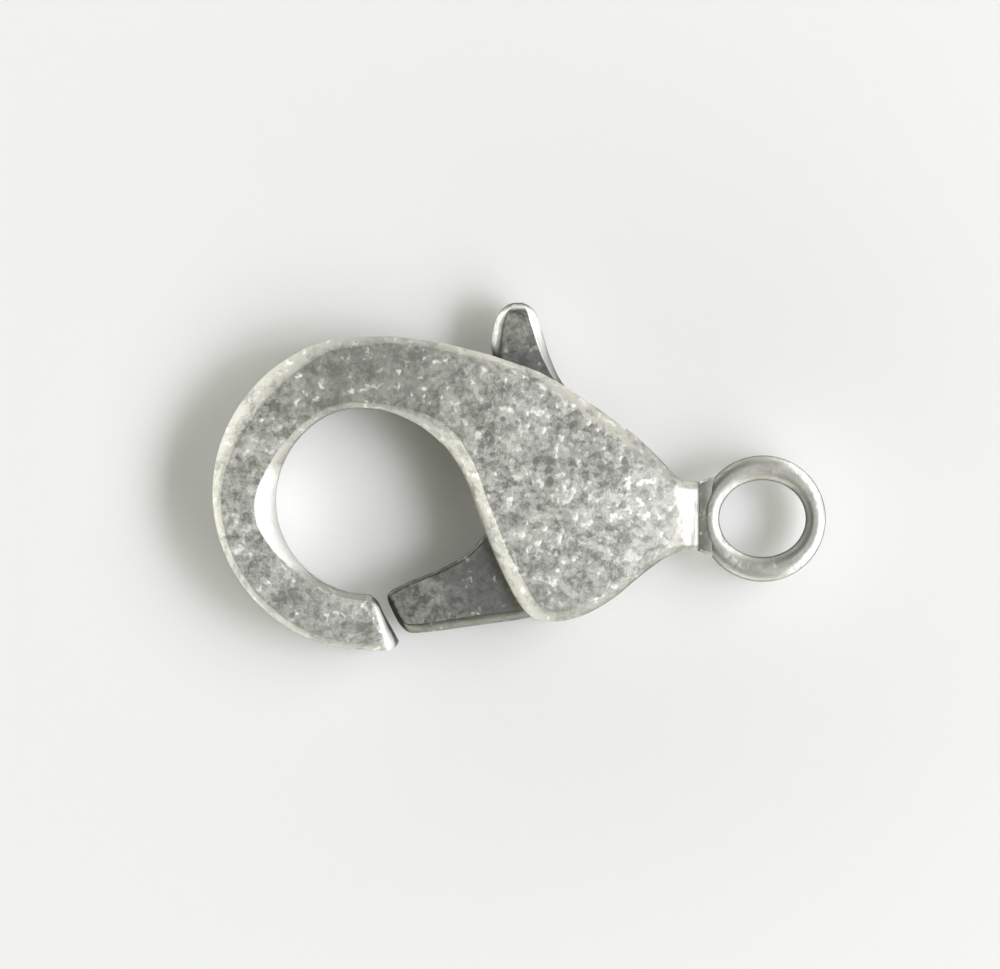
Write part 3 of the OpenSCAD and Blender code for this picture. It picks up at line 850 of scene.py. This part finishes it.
# Table
# A plain sheet of pale matt paper, wide enough to fill the view. It lies at the height of the cheeks'
# back faces, which the clasp rests on.
table_reach = 2.0
table_z = cad_bounds[0][2]
table_signs = ((-1, -1), (1, -1), (1, 1), (-1, 1))
table_corners = [(x * table_reach, y * table_reach, table_z) for x, y in table_signs]
table_mesh = bpy.data.meshes.new("table")
table_mesh.from_pydata(table_corners, [], [(0, 1, 2, 3)])
table = bpy.data.objects.new("table", table_mesh)
bpy.context.scene.collection.objects.link(table)
table_paper = bpy.data.materials.new("table paper")
table_paper.use_nodes = True
paper = table_paper.node_tree.nodes["Principled BSDF"]
paper.inputs["Base Color"].default_value = (0.88, 0.885, 0.895, 1)
paper.inputs["Roughness"].default_value = 0.9
paper.inputs["Specular IOR Level"].default_value = 0.1
finish(table, table_paper)

# Light
# A wide window on the right with a brighter patch of sky high in it, and a bright band of pale walls
# low down all round, strongest on the left. Overhead it is dark, where the camera stands.
wall_top, wall_full = np.sin(np.radians([20, 6]))
ceiling_start, ceiling_full = np.sin(np.radians([48, 68]))
wall_strength, wall_to_right, ceiling_strength = 5.7, -3.0, 0.46
wall_colour, ceiling_colour = (0.985, 1.0, 0.95, 1), (0.97, 1.0, 0.75, 1)
world = bpy.data.worlds.new("pale room")
bpy.context.scene.world = world
world.use_nodes = True
room = world.node_tree
toward_sky = put(room, "ShaderNodeTexCoord").outputs["Generated"]
sky = put(room, "ShaderNodeSeparateXYZ", {0: toward_sky}).outputs
wall_glow = maths(room, "MULTIPLY_ADD", sky["X"], wall_to_right, wall_strength)
wall_glow = maths(room, "MULTIPLY", ease(room, sky["Z"], wall_top, wall_full), wall_glow)
ceiling_glow = ease(room, sky["Z"], ceiling_start, ceiling_full, 0.0, ceiling_strength)
walls = put(room, "ShaderNodeBackground", {"Color": wall_colour, "Strength": wall_glow})
ceiling = put(room, "ShaderNodeBackground", {"Color": ceiling_colour, "Strength": ceiling_glow})
both = put(room, "ShaderNodeAddShader", {0: walls.outputs[0], 1: ceiling.outputs[0]})
room.links.new(both.outputs[0], room.nodes["World Output"].inputs["Surface"])

view_centre = np.array([-0.01156, 0.0015, 0.0])
light_away = 1.0


def panel(name, azimuth, elevation, width_angle, height_angle, glow, colour):
    """A lit rectangle facing the clasp that covers the given angles of its sky, with this radiance."""
    a, e = np.radians([azimuth, elevation])
    toward = np.array([np.cos(e) * np.cos(a), np.cos(e) * np.sin(a), np.sin(e)])
    data = bpy.data.lights.new(name, "AREA")
    data.shape = "RECTANGLE"
    data.size = 2 * light_away * np.tan(np.radians(width_angle / 2))
    data.size_y = 2 * light_away * np.tan(np.radians(height_angle / 2))
    data.energy = glow * np.pi * data.size * data.size_y
    data.color = colour
    lamp = bpy.data.objects.new(name, data)
    lamp.location = view_centre + light_away * toward
    lamp.rotation_mode = "XYZ"
    lamp.rotation_euler = (0, np.pi / 2 - e, a)
    bpy.context.scene.collection.objects.link(lamp)


panel(
    "window", azimuth=-7, elevation=46, width_angle=28, height_angle=76, glow=3.2, colour=(1.0, 1.0, 0.9)
)
panel(
    "sky_in_window", azimuth=-7, elevation=52, width_angle=18, height_angle=24, glow=6.6,
    colour=(0.96, 0.945, 1.17),
)

# Camera
# Straight above and far off on a long lens, so the walls hardly lean. It frames the clasp as the
# photograph does.
view_width, camera_height = 0.04405, 0.5
camera_data = bpy.data.cameras.new("camera")
camera_data.sensor_width = 36
camera_data.lens = camera_data.sensor_width * camera_height / view_width
camera_data.clip_start = 0.01
camera = bpy.data.objects.new("camera", camera_data)
camera.location = (view_centre[0], view_centre[1], camera_height)
bpy.context.scene.collection.objects.link(camera)
bpy.context.scene.camera = camera
bpy.context.scene.view_settings.view_transform = "Standard"
